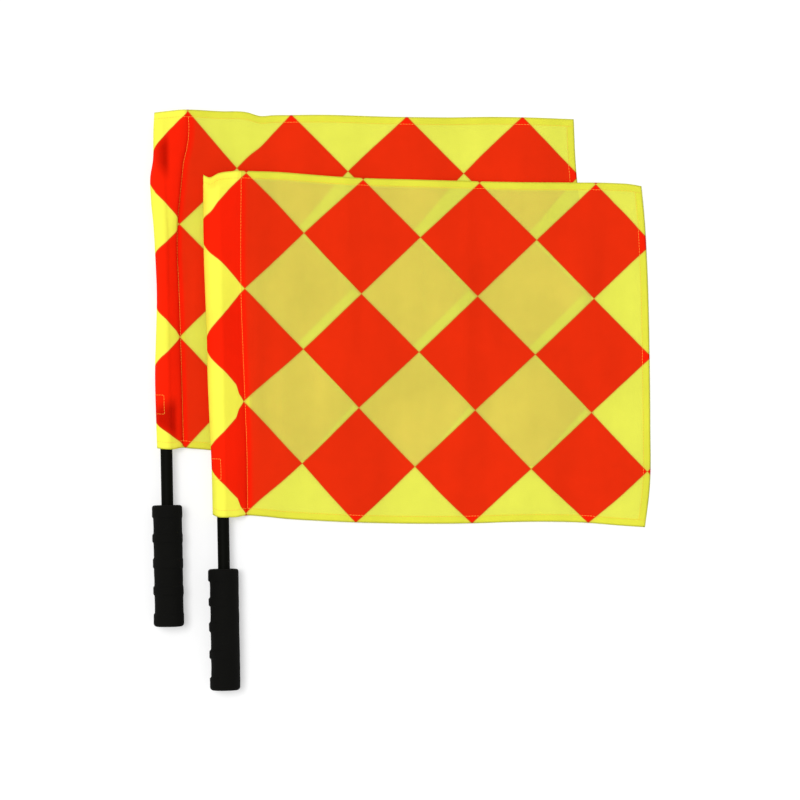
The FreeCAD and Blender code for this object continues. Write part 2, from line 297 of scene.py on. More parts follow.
def sleeve_section(flag, up, axis_height):
    """The sleeve's middle layer at one height, as points from the seam round the pole and back.

    From the seam it bellies up to the circle round the pole, follows that circle
    over the top, runs out to the folded edge, turns there and comes back under
    the pole to lie beneath the panel. Near the tip the whole loop is pressed flat.
    """
    seam, edge, belly = (float(drawn(flag[name], up)) for name in ("seam", "edge", "belly"))
    place = np.array([[up]])
    seam_height = panel_height(flag, np.array([[seam]]), place)[0, 0] - axis_height
    start = np.array([seam, seam_height])
    lean = math.atan2(seam_height, seam)
    spread = math.acos(sleeve_radius / math.hypot(seam, seam_height))
    upper, lower = lean + spread, lean - spread
    share = np.linspace(0, 1, section_points)
    touch = sleeve_radius * np.array([math.cos(upper), math.sin(upper)])
    out = np.array([-(touch - start)[1], (touch - start)[0]]) / np.linalg.norm(touch - start)
    bulge = np.sin(share**belly_skew * math.pi)[:, None] * -out * belly
    parts = [start + (touch - start) * share[:, None] + bulge]
    for first, last, near, far in (
        (upper, shoulder_angle, sleeve_radius, sleeve_radius),
        (shoulder_angle, fold_angle, sleeve_radius, edge),
        (fold_angle, lower + 2 * math.pi, edge, sleeve_radius),
    ):
        angle = first + (last - first) * share
        ease = share**bend_ease if far > near else 1 - (1 - share) ** bend_ease
        radius = near + (far - near) * ease
        parts.append(np.stack([radius * np.cos(angle), radius * np.sin(angle)], axis=1))
    touch = sleeve_radius * np.array([math.cos(lower), math.sin(lower)])
    under = np.linspace(seam, seam + seam_allowance, section_points)
    beneath = panel_height(flag, under[None], place)[0] - axis_height - layer_pitch
    corner = np.array([under[0], beneath[0]])
    parts.append(touch + (corner - touch) * share[:, None])
    parts.append(np.stack([under, beneath], axis=1))
    points = np.concatenate([parts[0]] + [part[1:] for part in parts[1:]])
    flat = step(up, cloth_head - closed_end_length, cloth_head)
    pressed = points[:, 1] * pressed_share - pressed_drop
    nearness = 1 - step(points[:, 0], seam - pressed_reach, seam)
    points[:, 1] += flat * nearness * (pressed - points[:, 1])
    return points


def print_chart(flag, across, flat, up, seam, fold_column):
    """Each place's column and row on the print, counted in diamonds.

    Across, a row of the grid is charted in straight stretches between known
    spots on the flat cloth: the folded edge, two spots where the print may be
    crowded, the first column, where the panel comes out from under the
    sleeve's bulge, half a column on, and the second column. Up, the print's
    row follows the height, and the sag and the dip lower it.
    """
    first, pitch = flag["columns"]
    rows_middle, rows_pitch = flag["print_rows"]
    height = up[:, 0]
    first_column, fold_reach, half = (
        drawn(flag[name], height) for name in ("first_column", "fold_reach", "half")
    )
    crowd = np.clip(drawn(flag["crowd"], height), 0, 1)
    second = first + pitch + height * math.tan(slant) + drawn(flag["swing"], height)
    columns = np.empty_like(flat)
    for n, reach in enumerate(fold_reach):
        upper = slice(fold_column[n], -hem_columns)
        outward, laid = np.maximum.accumulate(across[n, upper]), flat[n, upper]
        *beside, pinned = np.interp(first_column[n] - np.array([*crowd_places, 0]), outward, laid)
        even = [-reach * (pinned - place) / (pinned - laid[0]) for place in beside]
        crowded = [plain - crowd[n] * (plain + dense) for plain, dense in zip(even, crowd_prints)]
        middle = (first_column[n] + second[n]) / 2 + half[n]
        past_bulge = max(first_column[n], seam[n, 0], pinned + 0.001)
        print_there = max(seam[n, 0] - first_column[n], 0) * pitch / 2 / (middle - first_column[n])
        spot = [laid[0] - print_under, laid[0], *beside, pinned, past_bulge, middle, second[n]]
        value = [-reach - print_under, -reach, *crowded, 0, print_there, pitch / 2, pitch]
        columns[n] = np.interp(flat[n], spot + [second[n] + pitch * 4], value + [pitch * 5])
    sag, dip = drawn(flag["sag"], up), drawn(flag["dip"], up)
    low = sag * step(across, *sag_span) + dip * (1 - step(across, *dip_span))
    return np.stack([columns / pitch, (up + low - rows_middle) / rows_pitch], axis=2)


def shown_share(spots, across, up):
    """How much the black tape and tube show through: 1 in the middle of a spot, easing to 0 round it.

    A spot's lower end falls away from the pole and its upper end rises.
    """
    share = np.zeros_like(across)
    for left, right, low, high in spots:
        beside = step(across - left, *spot_left) * (1 - step(across - right, *spot_right))
        above = step(up + across * spot_fall - low, *spot_low)
        below = 1 - step(up - across * spot_rise - high, *spot_high)
        share = np.maximum(share, beside * above * below)
    return share


def near_hem(distance, width=hem_width):
    """1 within a hem's width of an edge and 0 past it."""
    return 1 - step(distance - width, *hem_blur)


def cloth_grid(side):
    """The cloth's middle layer as a grid: places, print chart, flat places, heights up and layers.

    Columns run from the sewn-in edge, back under the pole, round the fold, over
    the pole to the seam, over the panel to the fly edge and under it by the
    hem. Rows run from the foot's hem to the head's, both folded under. Each
    layer lies a pitch below the one above, and the top one rises to clear the
    stack. The last value is 0 on single cloth, 1 on a hem, 2 on the sleeve and
    up to 3 where something shows through the sleeve.
    """
    flag = flags[side]
    axis_across, foot, axis_height = pole_place(side)
    hem_places = np.linspace(hem_fold, hem_width, hem_steps)
    hem_out = np.concatenate([[hem_turn], hem_places])
    fold_out = np.concatenate([hem_out[::-1], np.zeros(cloth_rows), hem_out])
    body = fold_out == 0
    low_end = np.arange(len(fold_out)) < len(fold_out) / 2
    up = np.where(low_end, cloth_foot + fold_out, cloth_head - fold_out)
    up[body] = np.linspace(cloth_foot, cloth_head, cloth_rows)
    seam, fly = drawn(flag["seam"], up)[:, None], drawn(flag["fly"], up)[:, None]

    sections = [sleeve_section(flag, place, axis_height) for place in up]
    back = np.stack([np.linspace(length_along(points)[-1], 0, sleeve_columns) for points in sections])
    sleeve = np.stack([along(points, at) for points, at in zip(sections, back)])
    panel = seam + (fly - seam) * np.linspace(0, 1, panel_columns + 1)[1:]
    across = np.hstack([sleeve[..., 0], panel, fly - hem_out])
    flat = np.hstack([seam - back, panel, fly + hem_out])
    rising = np.repeat(up[:, None], across.shape[1], axis=1)
    beyond = panel_height(flag, across[:, sleeve_columns:], rising[:, sleeve_columns:])
    height = np.hstack([sleeve[..., 1] + axis_height, beyond])

    column = np.arange(across.shape[1])[None]
    fold_column = np.argmin(sleeve[..., 0], axis=1)
    under, past_seam = column < fold_column[:, None], across > seam
    allowed = under & past_seam
    turned, folded = column >= sleeve_columns + panel_columns, ~body[:, None]
    end_distance = np.minimum(rising - cloth_foot, cloth_head - rising)
    near_end = 1 - step(end_distance, hem_width, hem_width + end_ease)
    layers = np.where(turned, np.where(folded, 2, 1 + 2 * near_end), folded * 1.0)
    layers = np.where(under, -layers, layers)
    layers = np.where(allowed, np.where(folded, 2, near_end), layers)
    top = height + np.where(allowed, layer_pitch, 0)
    near_fly = 1 - step(fly - across, hem_width, hem_width + stack_ease)
    near_seam = 1 - step(across - seam, seam_allowance, seam_allowance + stack_ease)
    stack = near_end + np.maximum(near_fly, near_seam) * (1 + near_end)
    height = height - layers * layer_pitch
    height = height + past_seam * np.maximum(stack * layer_pitch + lowest_layer - top, 0)

    upper_sleeve = ~under & ~past_seam
    for middle, place, width, length, rise in flag["puffs"]:
        bell = np.exp(-(((across - middle) / width) ** 2) - ((rising - place) / length) ** 2)
        height = height + rise * bell * upper_sleeve

    bent = rising + drawn(flag["head"], across) * step(rising, cloth_head - head_reach, cloth_head)
    bent = bent + drawn(flag["mouth"], across) * (1 - step(rising, cloth_foot, cloth_foot + mouth_reach))
    cos, sin = math.cos(slant), math.sin(slant)
    places = np.stack([axis_across + across * cos, foot + bent / cos - across * sin, height], axis=2) * mm

    chart = print_chart(flag, across, flat, rising, seam, fold_column)
    edges = [near_hem(distance) for distance in (rising - cloth_foot, cloth_head - rising, fly - across)]
    hemmed = np.maximum.reduce([*edges, near_hem(across - seam, seam_allowance)])
    held = 2.0 + upper_sleeve * shown_share(flag["shown"], across, rising)
    return places, chart, flat, rising, np.where(column < sleeve_columns, held, hemmed)


def cloth_mesh(name, places, chart, layers):
    """A mesh from a grid of places, with its chart as the UV map and its layers as an attribute."""
    rows, columns = places.shape[:2]
    n = np.arange(rows * columns).reshape(rows, columns)
    quads = np.stack([n[:-1, :-1], n[:-1, 1:], n[1:, 1:], n[1:, :-1]], axis=-1).reshape(-1, 4)
    mesh = bpy.data.meshes.new(name)
    mesh.from_pydata(places.reshape(-1, 3), [], quads)
    uv = mesh.uv_layers.new(name="print")
    uv.data.foreach_set("uv", chart.reshape(-1, 2)[quads.reshape(-1)].astype(np.float32).ravel())
    doubled = mesh.attributes.new("layers", "FLOAT", "POINT")
    doubled.data.foreach_set("value", layers.astype(np.float32).ravel())
    return smooth(mesh)


def smooth(mesh):
    """The mesh with all its faces shaded smooth."""
    mesh.polygons.foreach_set("use_smooth", np.ones(len(mesh.polygons), bool))
    mesh.update()
    return mesh


def make_piece(mesh, material, thickness=0):
    """A finished piece of one mesh and one material, given its thickness where it is a sheet."""
    mesh.materials.append(material)
    piece = bpy.data.objects.new(mesh.name, mesh)
    bpy.context.scene.collection.objects.link(piece)
    if thickness:
        shell = piece.modifiers.new("thickness", "SOLIDIFY")
        shell.thickness = thickness * mm
        shell.offset = 0
        shell.use_even_offset = False
    return piece


class Wire:
    """A socket that takes part in sums: each operator adds the node for it."""

    def __init__(self, tree, socket):
        self.tree, self.socket = tree, socket

    def _math(self, operation, *values):
        return node(self.tree, "ShaderNodeMath", {"operation": operation}, values)

    def __add__(self, other):
        return self._math("ADD", self, other)

    def __sub__(self, other):
        return self._math("SUBTRACT", self, other)

    def __mul__(self, other):
        return self._math("MULTIPLY", self, other)

    def __radd__(self, other):
        return self._math("ADD", other, self)

    def __rsub__(self, other):
        return self._math("SUBTRACT", other, self)

    def __rmul__(self, other):
        return self._math("MULTIPLY", other, self)

    def __abs__(self):
        return self._math("ABSOLUTE", self)

    def of(self, operation, *others):
        """This value and others put through a Math node's operation."""
        return self._math(operation, self, *others)

    def ramp(self, low, high):
        """0 below low, 1 above high and a smooth ease between them."""
        ends = {"Value": self, "From Min": low, "From Max": high}
        return node(self.tree, "ShaderNodeMapRange", {"interpolation_type": "SMOOTHSTEP"}, ends)


def node(tree, kind, settings=(), values=(), out=0):
    """Adds a node, makes its settings, then feeds its sockets from values or other nodes' outputs."""
    added = tree.nodes.new(kind)
    for name, value in dict(settings).items():
        setattr(added, name, value)
    for key, value in values.items() if isinstance(values, dict) else enumerate(values):
        if isinstance(value, Wire):
            tree.links.new(value.socket, added.inputs[key])
        else:
            added.inputs[key].default_value = value
    return Wire(tree, added.outputs[out])


def mix(factor, first, second):
    """A colour between two, by a factor."""
    tree = factor.tree
    settings = {"data_type": "RGBA"}
    return node(tree, "ShaderNodeMix", settings, {0: factor, 6: first, 7: second}, 2)


def new_material(name):
    """An empty node material and its tree."""
    material = bpy.data.materials.new(name)
    material.use_nodes = True
    tree = material.node_tree
    tree.nodes.clear()
    return material, tree


def finish_material(tree, shader):
    """Joins a shader to the material's surface."""
    output = tree.nodes.new("ShaderNodeOutputMaterial")
    tree.links.new(shader.socket, output.inputs["Surface"])


yellow = (0.98, 0.96, 0.19, 1)
double_yellow = (0.95, 0.93, 0.08, 1)
red = (0.86, 0.029, 0.003, 1)
double_red = (0.97, 0.015, 0.001, 1)
fringe = (0.60, 0.09, 0.008, 1)
halo = (0.95, 0.60, 0.12, 1)
yellow_light = (0.91, 0.94, 0.12, 1)
red_light = (0.9, 0.05, 0.02, 1)
yellow_through, red_through, hem_through, shown_through = 0.58, 0.16, 0.62, 0.55
edge_wander, edge_blur = 0.012, 0.008
fringe_width, fringe_share = 0.020, 0.75
halo_width, halo_share = 0.026, 0.42
# Painted shade: how far soft blotches, streaks along the pole and a fine mottle darken and lighten the
# print's colour, standing in for the shading of folds.
print_tone, painted_soft_shade, painted_streak_shade, painted_fine_shade = 0.97, 0.20, 0.16, 0.06
diamond_size = (116, 113)
threads_per_mm = 2.2
weave_shade, weave_relief, wrinkle_relief, fine_relief = 0.03, 0.35, 3.2, 0.6


def printed_cloth():
    """Dyed plain weave: diamonds worked out from the print's chart, over a fine weave and faint creases,
    with painted shade of folds in soft blotches, streaks along the pole and a fine mottle.

    A point is red where twice its distances from the nearest diamond's middle,
    counted in diamonds across and up, add up to less than one. A dark fringe
    lies just inside that edge and a pale halo just outside. Single cloth lets
    part of what lies beneath show through, tinted by its dye.
    """
    material, tree = new_material("printed_cloth")
    chart = node(tree, "ShaderNodeTexCoord", out=2)
    place = node(tree, "ShaderNodeTexCoord", out=3)
    layers = node(tree, "ShaderNodeAttribute", {"attribute_name": "layers"}, out=2)
    split = node(tree, "ShaderNodeSeparateXYZ", (), {0: chart}).socket.node
    across, up = Wire(tree, split.outputs[0]), Wire(tree, split.outputs[1])
    wander = node(tree, "ShaderNodeTexNoise", (), {"Vector": place, "Scale": 90, "Detail": 2})
    off_across = abs((across + 0.5).of("FRACT") - 0.5) * 2
    off_up = abs((up + 0.5).of("FRACT") - 0.5) * 2
    inside = 1 - (off_across + off_up) + (wander - 0.5) * edge_wander
    is_red = inside.ramp(-edge_blur, edge_blur)
    line = 1 - abs(inside - edge_blur).ramp(0.0, fringe_width)
    glow = 1 - abs(inside + fringe_width).ramp(0.0, halo_width)

    doubled = layers.of("MINIMUM", 1.0)
    clouds = {"Vector": place, "Scale": 14, "Detail": 3, "Roughness": 0.55}
    soft = node(tree, "ShaderNodeTexNoise", (), clouds)
    fine = node(tree, "ShaderNodeTexNoise", (), {"Vector": place, "Scale": 90, "Detail": 3})
    drawn_up = node(tree, "ShaderNodeMapping", (), {"Vector": place, "Scale": (1.0, 0.18, 1.0)})
    streaks = node(tree, "ShaderNodeTexNoise", (), {"Vector": drawn_up, "Scale": 30, "Detail": 3})
    # Painted shade of folds: soft blotches and streaks along the pole, with a fine mottle, darken and
    # lighten the print's colour.
    painted_fold_shade = (soft - 0.5) * painted_soft_shade + (streaks - 0.5) * painted_streak_shade
    painted_shade = print_tone + painted_fold_shade + (fine - 0.5) * painted_fine_shade
    counts = {0: chart, 1: (*(length * threads_per_mm for length in diamond_size), 1)}
    threads = node(tree, "ShaderNodeVectorMath", {"operation": "MULTIPLY"}, counts)
    threads = node(tree, "ShaderNodeSeparateXYZ", (), {0: threads}).socket.node
    warp = (Wire(tree, threads.outputs[0]) * math.pi).of("SINE")
    weft = (Wire(tree, threads.outputs[1]) * math.pi).of("SINE")
    weave = warp * weft
    ground = mix(is_red, mix(doubled, yellow, double_yellow), mix(doubled, red, double_red))
    ground = mix(glow * halo_share, ground, halo)
    ground = mix(line * fringe_share, ground, fringe)
    # The print's colour is multiplied by this painted shade and by the weave's tone.
    tone = painted_shade + weave * weave_shade
    settings = {"data_type": "RGBA", "blend_type": "MULTIPLY"}
    colour = node(tree, "ShaderNodeMix", settings, {0: 1.0, 6: ground, 7: tone}, 2)
    creases = {"Vector": place, "Scale": 26, "Detail": 4, "Distortion": 0.6}
    wrinkle = node(tree, "ShaderNodeTexNoise", (), creases)
    height = weave * weave_relief + wrinkle * wrinkle_relief + fine * fine_relief
    bump = node(tree, "ShaderNodeBump", (), {"Strength": 0.55, "Distance": 0.00022, "Height": height})
    body = node(
        tree, "ShaderNodeBsdfPrincipled", (),
        {"Base Color": colour, "Roughness": 0.9, "Specular IOR Level": 0.05, "Normal": bump},
    )
    yellow_veil = node(tree, "ShaderNodeBsdfTransparent", (), {"Color": yellow_light})
    red_veil = node(tree, "ShaderNodeBsdfTransparent", (), {"Color": red_light})
    veil = node(tree, "ShaderNodeMixShader", (), {0: is_red, 1: yellow_veil, 2: red_veil})
    single = (1 - layers.ramp(1.4, 1.9)) * (1 - doubled * (1 - hem_through))
    through_share = single * (yellow_through - is_red * (yellow_through - red_through))
    shown = (layers - 2).of("MAXIMUM", 0.0) * is_red * (0.7 + soft * 0.6)
    through_share = through_share + shown * shown_through
    finish_material(tree, node(tree, "ShaderNodeMixShader", (), {0: through_share, 1: body, 2: veil}))
    return material


cloth_material = printed_cloth()
grids, cloths = {}, {}
for side in flags:
    places, chart, flat, rising, layers = cloth_grid(side)
    grids[side] = (places, flat, rising)
    mesh = cloth_mesh(side + "_printed_cloth", places, chart, layers)
    piece = make_piece(mesh, cloth_material, cloth_thickness)
    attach(piece, side + "_flag")
    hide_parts(side + "_cloth")
    cloths[side] = piece

# Sewing
# The sleeve, the hems and the tab are lock-stitched in golden polyester thread.
# Each stitch is a short bead of thread that sinks at both ends, and the rows run
# right through, so they show on both faces.

stitch_length = 2.4
stitch_gap = 0.5
stitch_wander = 0.05
thread_radius = 0.16
thread_rings, thread_sides = 5, 6
end_reach = 0.92
middle_stand, end_sink = 0.55, 0.75
seam_inset = 1.0
tab_low, tab_high = 210.5, 230.5
tab_out = -1.1
row_end = 1.0
seam_points = 60
probe, glance = 0.4, 0.5


def surface_reader(side):
    """Reads a flag's cloth at flat places and heights: the place there and the cloth's two directions."""
    places, flat, rising = grids[side]
    body = slice(hem_columns, hem_columns + cloth_rows)
    places, flat, heights = places[body], flat[body], rising[body, 0]

    def on_row(across, n):
        return [np.interp(across, flat[n], places[n, :, axis]) for axis in range(3)]

    def read(across, up):
        row = np.clip(np.interp(up, heights, np.arange(len(heights))), 0, len(heights) - 1.001)
        low = row.astype(int)
        below, above = (np.array([on_row(*spot) for spot in zip(across, low + k)]) for k in (0, 1))
        return below + (above - below) * (row - low)[:, None]

    def frame_at(across, up):
        out = read(across + probe, up) - read(across - probe, up)
        rise = read(across, up + probe) - read(across, up - probe)
        out /= np.linalg.norm(out, axis=1)[:, None]
        rise /= np.linalg.norm(rise, axis=1)[:, None]
        return read(across, up), out, rise

    return frame_at


def stitch_row(path, read, random):
    """The middle, direction and face of each stitch along a path of flat places and heights."""
    path = np.asarray(path, float)
    length = length_along(path)[-1]
    count = max(int(round(length / (stitch_length + stitch_gap))), 1)
    at = (np.arange(count) + 0.5) / count * length
    spots = along(path, at)
    way = along(path, at + glance) - spots
    way /= np.linalg.norm(way, axis=1)[:, None]
    spots += random.normal(0, stitch_wander, spots.shape)
    middle, out, rise = read(spots[:, 0], spots[:, 1])
    direction = out * way[:, :1] + rise * way[:, 1:]
    direction /= np.linalg.norm(direction, axis=1)[:, None]
    normal = np.cross(out, rise)
    return middle, direction, normal / np.linalg.norm(normal, axis=1)[:, None]


def stitch_mesh(name, rows):
    """Beads of thread on both faces of the cloth, as rings round each stitch.

    Along a stitch the thread's thickness falls as the square root of one less
    the fourth power of the way from its middle, and its height by that power.
    """
    share = np.linspace(-1, 1, thread_rings)
    angle = np.arange(thread_sides) / thread_sides * 2 * math.pi
    thick = np.sqrt(1 - (share * end_reach) ** 4)
    sunk = middle_stand - end_sink * share**4
    bead = thread_rings * thread_sides
    n = np.arange(bead).reshape(thread_rings, thread_sides)
    around = np.roll(n, -1, axis=1)
    quads = np.stack([n[:-1], around[:-1], around[1:], n[1:]], axis=-1).reshape(-1, 4)
    ends = np.stack([n[0][::-1], n[-1]])
    vertices, faces, count = [], [], 0
    for middle, direction, normal, layers in rows:
        for face in (1, -1):
            level = cloth_thickness / 2 + (0 if face > 0 else (layers - 1) * layer_pitch)
            up = normal * face
            width = np.cross(direction, up)
            ahead = direction[:, None, None] * (share * stitch_length / 2 * mm)[:, None, None]
            beside = width[:, None, None] * (np.outer(thick, np.cos(angle)) * thread_radius * mm)[..., None]
            over = np.outer(thick, np.sin(angle)) + sunk[:, None]
            above = up[:, None, None] * ((over * thread_radius + level) * mm)[..., None]
            vertices.append((middle[:, None, None] + ahead + beside + above).reshape(-1, 3))
            first = count + np.arange(len(middle))[:, None, None] * bead
            faces += (quads[None] + first).reshape(-1, 4).tolist()
            faces += (ends[None] + first).reshape(-1, thread_sides).tolist()
            count += len(middle) * bead
    mesh = bpy.data.meshes.new(name)
    mesh.from_pydata(np.concatenate(vertices), [], faces)
    return smooth(mesh)


golden, light_golden, ply_shadow = (0.97, 0.46, 0.05, 1), (0.97, 0.62, 0.06, 1), (0.90, 0.34, 0.03, 1)


def sewing_thread():
    """Twisted polyester thread: golden, with a fine slanting ply and a low sheen."""
    material, tree = new_material("sewing_thread")
    place = node(tree, "ShaderNodeTexCoord", out=3)
    settings = {"bands_direction": "DIAGONAL"}
    ply = node(tree, "ShaderNodeTexWave", settings, {"Vector": place, "Scale": 900, "Distortion": 1.5})
    tone = node(tree, "ShaderNodeTexNoise", (), {"Vector": place, "Scale": 40})
    colour = mix(ply * 0.25, mix(tone, golden, light_golden), ply_shadow)
    bump = node(tree, "ShaderNodeBump", (), {"Strength": 0.5, "Distance": 0.00006, "Height": ply})
    inputs = {"Base Color": colour, "Roughness": 0.55, "Specular IOR Level": 0.35, "Normal": bump}
    finish_material(tree, node(tree, "ShaderNodeBsdfPrincipled", (), inputs))
    return material


thread = sewing_thread()
random = np.random.default_rng(11)
head_up = cloth_head - hem_width
foot_up = cloth_foot + hem_width
for side, flag in flags.items():
    read = surface_reader(side)
    places, flat, rising = grids[side]
    up = np.linspace(foot_up, head_up, seam_points)
    fly_low, fly_high = drawn(flag["fly"], [foot_up, head_up])
    sewn_in = flat[:, 0].max() + row_end
    seam_path = np.stack([drawn(flag["seam"], up) + seam_inset, up], axis=1)
    fly_path = np.stack([drawn(flag["fly"], up) - hem_width, up], axis=1)
    row = np.argmin(abs(rising[:, 0] - (tab_low + tab_high) / 2))
    flag_across = (places[row, :, 0] / mm - pole_place(side)[0]) / math.cos(slant)
    fold = int(np.argmin(flag_across[:sleeve_columns]))
    over = np.interp(tab_out, flag_across[fold:sleeve_columns], flat[row, fold:sleeve_columns])
    under = np.interp(tab_out, flag_across[fold::-1], flat[row, fold::-1])
    box = [(under, tab_low), (over, tab_low), (over, tab_high), (under, tab_high), (under, tab_low)]
    rows = {
        "sleeve_seam": ([seam_path], 2),
        "head_seam": ([[(sewn_in, head_up), (fly_high - row_end, head_up)]], 2),
        "foot_seam": ([[(sewn_in, foot_up), (fly_low - row_end, foot_up)]], 2),
        "fly_seam": ([fly_path], 2),
        "tab_stitching": ([box[n:n + 2] for n in range(4)], 1),
    }
    for name, (paths, layers) in rows.items():
        stitches = [(*stitch_row(path, read, random), layers) for path in paths]
        piece = make_piece(stitch_mesh(side + "_" + name + "_stitches", stitches), thread)
        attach(piece, side + "_flag")
        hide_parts(side + "_" + name)

# Grips
# Each hand grip is a moulded sleeve of black closed-cell foam pushed over the
# tube, closed at the foot. Five flat-topped ridges on the side away from the
# cloth part the fingers and die away round the flanks.

grip_length = 121.0
grip_radius = 14.5
grip_floor = 7.0
bore_radius, bore_lip = 6.08, 0.3
ridge_rise, ridge_ramp = 1.55, 2.4
ridge_spans = ((-5, 14.2), (30.6, 41.4), (57.4, 69.0), (83.0, 93.4), (107.6, 127))
ridge_lift = {"front": 0, "rear": math.radians(62)}
foot_round, shoulder_round = 3.6, 2.6
grip_sides, barrel_rings, round_rings = 144, 190, 8
skin_wave = 0.07
table_gap = 0.02
foam_dark, foam_light = (0.0020, 0.0020, 0.0016, 1), (0.0048, 0.0048, 0.0040, 1)
foam_dust = (0.014, 0.014, 0.012, 1)


def grip_profile():
    """The grip's rings from the foot's middle over the outside and down the bore.

    Each ring has a radius, a place along the pole and a shift of its middle.
    The radius grows by half the ridge's rise and the middle shifts as far
    towards the ridges, so every ring touches the plain side.
    """
    turn = np.linspace(0, 1, round_rings) * math.pi / 2
    barrel = np.linspace(foot_round, grip_length - shoulder_round, barrel_rings)[1:-1]
    foot_along = foot_round * (1 - np.cos(turn))
    shoulder_along = grip_length - shoulder_round * (1 - np.cos(turn[::-1]))
    outside = np.concatenate([foot_along, barrel, shoulder_along])
    foot_in = foot_round * (1 - np.sin(turn))
    shoulder_in = shoulder_round * (1 - np.sin(turn[::-1]))
    inward = np.concatenate([foot_in, np.zeros(len(barrel)), shoulder_in])
    rise = np.zeros(len(outside))
    for first, last in ridge_spans:
        flanks = step(outside, first, first + ridge_ramp) * (1 - step(outside, last - ridge_ramp, last))
        rise = np.maximum(rise, ridge_rise * flanks)
    radius, shift = grip_radius + rise / 2 - inward, -rise / 2
    face, rim = np.array([0.0, 0.3, 0.6, 0.85]), np.array([0.97, 0.75, 0.5, 0.25])
    bore = [grip_length, grip_length - 0.4, grip_length - 30, grip_floor, grip_floor]
    across_rim = bore_radius + (radius[-1] - bore_radius) * rim
    down_bore = [bore_radius + bore_lip, bore_radius, bore_radius, bore_radius, 0]
    radii = np.concatenate([radius[0] * face, radius, across_rim, down_bore])
    places = np.concatenate([np.zeros(len(face)), outside, np.full(len(rim), grip_length), bore])
    shifts = np.concatenate([shift[0] * face, shift, shift[-1] * rim, np.zeros(len(bore))])
    return radii, places, shifts, len(bore)


def grip_mesh(name, side, random):
    """The grip as rings round the pole's axis, closed at both ends.

    Low waves of a tenth of a millimetre take the machine edge off the foam:
    sums of sines along the grip and round it.
    """
    axis_across, foot, axis_height = pole_place(side)
    radius, place, shift, bore_rings = (part[:, None] if np.ndim(part) else part for part in grip_profile())
    angle = np.arange(grip_sides) / grip_sides * 2 * math.pi
    outer = (np.arange(len(radius)) < len(radius) - bore_rings)[:, None]
    phase = random.uniform(0, 2 * math.pi, 4)
    waves = sum(
        np.sin(place * k / 9 + phase[n]) * np.sin(angle * (n + 2) + phase[n] * 2 + place / 23)
        for n, k in enumerate((1.0, 1.7, 2.6, 3.9))
    )
    worn = outer * skin_wave * (waves - 1.5) * np.clip(radius / 10, 0, 1)
    wide = np.maximum(radius + worn, 0)
    x = axis_across + shift * math.cos(ridge_lift[side]) + wide * np.cos(angle)
    z = axis_height - shift * math.sin(ridge_lift[side]) + wide * np.sin(angle)
    y = foot + place + np.zeros_like(x)
    rings = np.stack([x, y, np.maximum(z, table_gap)], axis=2)
    inner = rings[1:-1].reshape(-1, 3)
    n = np.arange(len(inner)).reshape(len(rings) - 2, grip_sides)
    beside = np.roll(n, -1, axis=1)
    faces = np.stack([n[:-1], n[1:], beside[1:], beside[:-1]], axis=-1).reshape(-1, 4).tolist()
    faces += [(len(inner), a, b) for a, b in zip(n[0], beside[0])]
    faces += [(len(inner) + 1, b, a) for a, b in zip(n[-1], beside[-1])]
    mesh = bpy.data.meshes.new(name)
    mesh.from_pydata(np.concatenate([inner, rings[0, :1], rings[-1, :1]]) * mm, [], faces)
    return smooth(mesh)


def foam():
    """Black closed-cell foam: fine cells with broken skins, larger soft mottling and a little dust."""
    material, tree = new_material("grip_foam")
    place = node(tree, "ShaderNodeTexCoord", out=3)
    cells = node(tree, "ShaderNodeTexVoronoi", (), {"Vector": place, "Scale": 1500})
    pits = node(tree, "ShaderNodeTexVoronoi", (), {"Vector": place, "Scale": 620})
    mottle = node(tree, "ShaderNodeTexNoise", (), {"Vector": place, "Scale": 55, "Detail": 4})
    specks = node(tree, "ShaderNodeTexNoise", (), {"Vector": place, "Scale": 420, "Detail": 2})
    dust = specks.ramp(0.62, 0.8)
    colour = mix(dust * 0.2, mix(mottle, foam_dark, foam_light), foam_dust)
    rough = 0.78 + mottle * 0.16
    height = cells * 0.6 + pits * 0.8 + mottle * 1.5
    bump = node(tree, "ShaderNodeBump", (), {"Strength": 0.5, "Distance": 0.00018, "Height": height})
    inputs = {"Base Color": colour, "Roughness": rough, "Specular IOR Level": 0.06, "Normal": bump}
    finish_material(tree, node(tree, "ShaderNodeBsdfPrincipled", (), inputs))
    return material


foam_material = foam()
for side in flags:
    piece = make_piece(grip_mesh(side + "_foam_grip", side, random), foam_material)
    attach(piece, side + "_pole")
    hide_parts(side + "_grip")

# Tubes
# Each pole is an extruded tube of black plastic, satin, with the faint lines
# that the die leaves along it and fine scuffs from the sleeve.

tube_black, scuffed_black = (0.0016, 0.0018, 0.0010, 1), (0.006, 0.006, 0.0045, 1)


def tube_plastic():
    """Extruded black plastic: fine lines along the tube and scattered paler scuffs."""
    material, tree = new_material("tube_plastic")
    place = node(tree, "ShaderNodeTexCoord", out=3)
    drawn_out = node(tree, "ShaderNodeMapping", (), {"Vector": place, "Scale": (1.0, 0.02, 1.0)})
    lines = node(tree, "ShaderNodeTexNoise", (), {"Vector": drawn_out, "Scale": 1800, "Detail": 2})
    rubs = {"Vector": place, "Scale": 240, "Detail": 5, "Distortion": 1.2}
    scuffs = node(tree, "ShaderNodeTexNoise", (), rubs).ramp(0.56, 0.72)
    colour = mix(scuffs * 0.5, tube_black, scuffed_black)
    rough = 0.55 + scuffs * 0.2 + lines * 0.08
    bump = node(tree, "ShaderNodeBump", (), {"Strength": 0.35, "Distance": 0.00003, "Height": lines})
    inputs = {"Base Color": colour, "Roughness": rough, "Specular IOR Level": 0.035, "Normal": bump}
    finish_material(tree, node(tree, "ShaderNodeBsdfPrincipled", (), inputs))
    return material


def dress(names, material):
    """Gives the parts' own meshes a material."""
    for name in names:
        piece = bpy.data.objects[name]
        piece.data.materials.clear()
        piece.data.materials.append(material)


dress([side + "_shaft_tube" for side in flags], tube_plastic())

